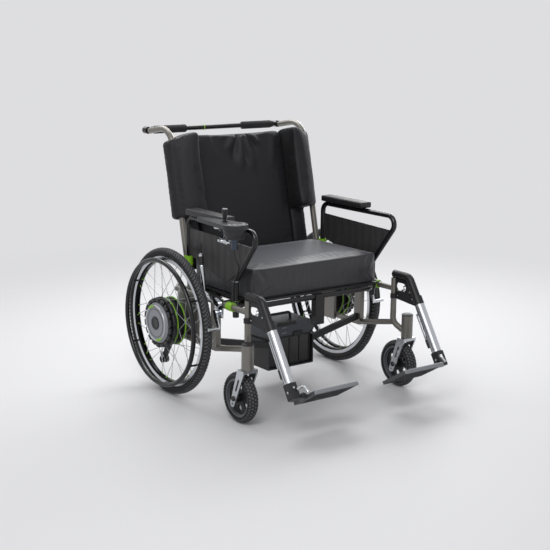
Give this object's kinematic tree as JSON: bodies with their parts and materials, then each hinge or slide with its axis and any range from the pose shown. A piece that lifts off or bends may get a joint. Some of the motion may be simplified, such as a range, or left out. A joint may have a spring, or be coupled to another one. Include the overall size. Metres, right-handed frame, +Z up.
{
  "type": "wheelchair with power-assist wheels",
  "caption": "Wide wheelchair with motor hubs in its rear wheels, a joystick on one armrest, a battery under the seat, swing-away leg rests and lift-out armrests.",
  "frame": {"origin": "on the floor, at the middle of the chair's box", "axes": "+Z up, -Y to the front of the chair, +X to the occupant's left"},
  "size_m": [1.008, 1.1646, 1.0905],
  "materials": {
    "frame_paint": "metallic satin",
    "black_tube": "gloss",
    "green_plastic": "moulded",
    "nylon_cover": "woven nylon",
    "black_plastic": "moulded",
    "steel": "turned",
    "chrome": "polished",
    "tyre_rubber": "moulded tread",
    "rim_alloy": "polished",
    "calf_alloy": "anodised",
    "cover_grey": "painted",
    "foam": "foam",
    "slate_plastic": "moulded",
    "cable_rubber": "smooth"
  },
  "bodies": {
    "frame": {"side_frames": "frame_paint", "cross_member": "black_tube", "back_canes": "frame_paint", "seat_saddles": "green_plastic", "seat_base": "black_plastic", "seat_cushion": "nylon_cover", "back_cushion": "nylon_cover", "hub_motors": "steel", "bearings": "steel", "torque_arms": "black_plastic", "brake_brackets": "chrome", "battery_tray": "black_plastic", "caster_head_caps": "black_plastic"},
    "push_bar": {"push_bar": "black_tube", "push_grips": "foam"},
    "joystick": {"joystick_housing": "slate_plastic"},
    "joystick_gimbal": {"joystick_gimbal": "steel"},
    "joystick_stick": {"joystick_stick": "black_plastic"},
    "joystick_button": {"joystick_button": "green_plastic"},
    "battery": {"battery_case": "black_plastic", "battery_lid": "slate_plastic", "battery_cells": "black_plastic"},
    "right_wheel": {"right_tyre": "tyre_rubber", "right_rim": "rim_alloy", "right_spokes": "steel", "right_handrim": "black_tube", "right_hub_drum": "black_plastic"},
    "right_hub_cover": {"right_hub_cover": "cover_grey"},
    "right_caster_fork": {"right_caster_fork": "rim_alloy"},
    "right_caster_roller": {"right_caster_wheel": "rim_alloy", "right_caster_tyre": "tyre_rubber"},
    "right_armrest": {"right_arm_frame": "black_tube", "right_arm_pad": "black_plastic", "right_arm_guard": "black_plastic", "joystick_bracket": "chrome", "joystick_cable": "cable_rubber"},
    "right_legrest": {"right_hanger": "black_tube", "right_calf_tube": "calf_alloy"},
    "right_foot_tube": {"right_foot_tube": "black_plastic"},
    "right_footplate": {"right_footplate": "slate_plastic"},
    "right_brake_lever": {"right_brake_lever": "chrome"},
    "right_brake_shoe": {"right_brake_shoe": "chrome"},
    "left_wheel": {"left_tyre": "tyre_rubber", "left_rim": "rim_alloy", "left_spokes": "steel", "left_handrim": "black_tube", "left_hub_drum": "black_plastic"},
    "left_hub_cover": {"left_hub_cover": "cover_grey"},
    "left_caster_fork": {"left_caster_fork": "rim_alloy"},
    "left_caster_roller": {"left_caster_wheel": "rim_alloy", "left_caster_tyre": "tyre_rubber"},
    "left_armrest": {"left_arm_frame": "black_tube", "left_arm_pad": "black_plastic", "left_arm_guard": "black_plastic"},
    "left_legrest": {"left_hanger": "black_tube", "left_calf_tube": "calf_alloy"},
    "left_foot_tube": {"left_foot_tube": "black_plastic"},
    "left_footplate": {"left_footplate": "slate_plastic"},
    "left_brake_lever": {"left_brake_lever": "chrome"},
    "left_brake_shoe": {"left_brake_shoe": "chrome"}
  },
  "joints": [
    {"name": "right_wheel_spin", "type": "hinge", "parent": "frame", "child": "right_wheel", "pos_m": [-0.438, 0.24427, 0.305], "axis": [1, 0, 0], "continuous": true},
    {"name": "right_drive_engage", "type": "hinge", "parent": "right_wheel", "child": "right_hub_cover", "pos_m": [-0.5, 0.24427, 0.305], "axis": [1, 0, 0], "range_deg": [0, 30]},
    {"name": "right_caster_swivel", "type": "hinge", "parent": "frame", "child": "right_caster_fork", "pos_m": [-0.413, -0.27773, 0.27], "axis": [0, 0, 1], "continuous": true},
    {"name": "right_caster_roll", "type": "hinge", "parent": "right_caster_fork", "child": "right_caster_roller", "pos_m": [-0.413, -0.23373, 0.1], "axis": [1, 0, 0], "continuous": true},
    {"name": "right_armrest_lift", "type": "slide", "parent": "frame", "child": "right_armrest", "axis": [0, 0, 1], "range_m": [0, 0.14]},
    {"name": "right_legrest_swing", "type": "hinge", "parent": "frame", "child": "right_legrest", "pos_m": [-0.378, -0.22773, 0.45], "axis": [0, 0, -1], "range_deg": [0, 90]},
    {"name": "right_leg_length", "type": "slide", "parent": "right_legrest", "child": "right_foot_tube", "axis": [0, -0.5299, -0.848], "range_m": [0, 0.03]},
    {"name": "right_footplate_flip", "type": "hinge", "parent": "right_foot_tube", "child": "right_footplate", "pos_m": [-0.34, -0.52057, 0.16681], "axis": [0, -0.848, 0.5299], "range_deg": [0, 90]},
    {"name": "right_brake_lever_turn", "type": "hinge", "parent": "frame", "child": "right_brake_lever", "pos_m": [-0.4, -0.05573, 0.432], "axis": [1, 0, 0], "range_deg": [0, 50]},
    {"name": "right_brake_shoe_turn", "type": "hinge", "parent": "frame", "child": "right_brake_shoe", "pos_m": [-0.406, -0.04573, 0.395], "axis": [1, 0, 0], "range_deg": [0, 6]},
    {"name": "left_wheel_spin", "type": "hinge", "parent": "frame", "child": "left_wheel", "pos_m": [0.438, 0.24427, 0.305], "axis": [1, 0, 0], "continuous": true},
    {"name": "left_drive_engage", "type": "hinge", "parent": "left_wheel", "child": "left_hub_cover", "pos_m": [0.5, 0.24427, 0.305], "axis": [1, 0, 0], "range_deg": [0, 30]},
    {"name": "left_caster_swivel", "type": "hinge", "parent": "frame", "child": "left_caster_fork", "pos_m": [0.413, -0.27773, 0.27], "axis": [0, 0, 1], "continuous": true},
    {"name": "left_caster_roll", "type": "hinge", "parent": "left_caster_fork", "child": "left_caster_roller", "pos_m": [0.413, -0.23373, 0.1], "axis": [1, 0, 0], "continuous": true},
    {"name": "left_armrest_lift", "type": "slide", "parent": "frame", "child": "left_armrest", "axis": [0, 0, 1], "range_m": [0, 0.14]},
    {"name": "left_legrest_swing", "type": "hinge", "parent": "frame", "child": "left_legrest", "pos_m": [0.378, -0.22773, 0.45], "axis": [0, 0, 1], "range_deg": [0, 90]},
    {"name": "left_leg_length", "type": "slide", "parent": "left_legrest", "child": "left_foot_tube", "axis": [0, -0.5299, -0.848], "range_m": [0, 0.03]},
    {"name": "left_footplate_flip", "type": "hinge", "parent": "left_foot_tube", "child": "left_footplate", "pos_m": [0.34, -0.52057, 0.16681], "axis": [0, 0.848, -0.5299], "range_deg": [0, 90]},
    {"name": "left_brake_lever_turn", "type": "hinge", "parent": "frame", "child": "left_brake_lever", "pos_m": [0.4, -0.05573, 0.432], "axis": [1, 0, 0], "range_deg": [0, 50]},
    {"name": "left_brake_shoe_turn", "type": "hinge", "parent": "frame", "child": "left_brake_shoe", "pos_m": [0.406, -0.04573, 0.395], "axis": [1, 0, 0], "range_deg": [0, 6]},
    {"name": "push_bar_swing", "type": "hinge", "parent": "frame", "child": "push_bar", "pos_m": [-0.345, 0.55927, 1.062], "axis": [0, 1, 0], "range_deg": [0, 90]},
    {"name": "joystick_swivel", "type": "hinge", "parent": "right_armrest", "child": "joystick", "pos_m": [-0.412, -0.18573, 0.7], "axis": [0, 0, 1], "range_deg": [0, 80]},
    {"name": "joystick_pitch", "type": "hinge", "parent": "joystick", "child": "joystick_gimbal", "pos_m": [-0.412, -0.11973, 0.753], "axis": [1, 0, 0], "range_deg": [-18, 18], "stiffness_Nm_per_rad": 0.4},
    {"name": "joystick_roll", "type": "hinge", "parent": "joystick_gimbal", "child": "joystick_stick", "pos_m": [-0.412, -0.11973, 0.753], "axis": [0, 1, 0], "range_deg": [-18, 18], "stiffness_Nm_per_rad": 0.4},
    {"name": "power_button_press", "type": "slide", "parent": "joystick", "child": "joystick_button", "axis": [0, 0, -1], "range_m": [0, 0.0015], "stiffness_N_per_m": 400},
    {"name": "battery_slide", "type": "slide", "parent": "frame", "child": "battery", "axis": [0, -1, 0], "range_m": [0, 0.25]}
  ],
  "couplings": [
    {"joint": "right_brake_shoe_turn", "follows": "right_brake_lever_turn", "ratio": 0.12},
    {"joint": "left_brake_shoe_turn", "follows": "left_brake_lever_turn", "ratio": 0.12}
  ]
}
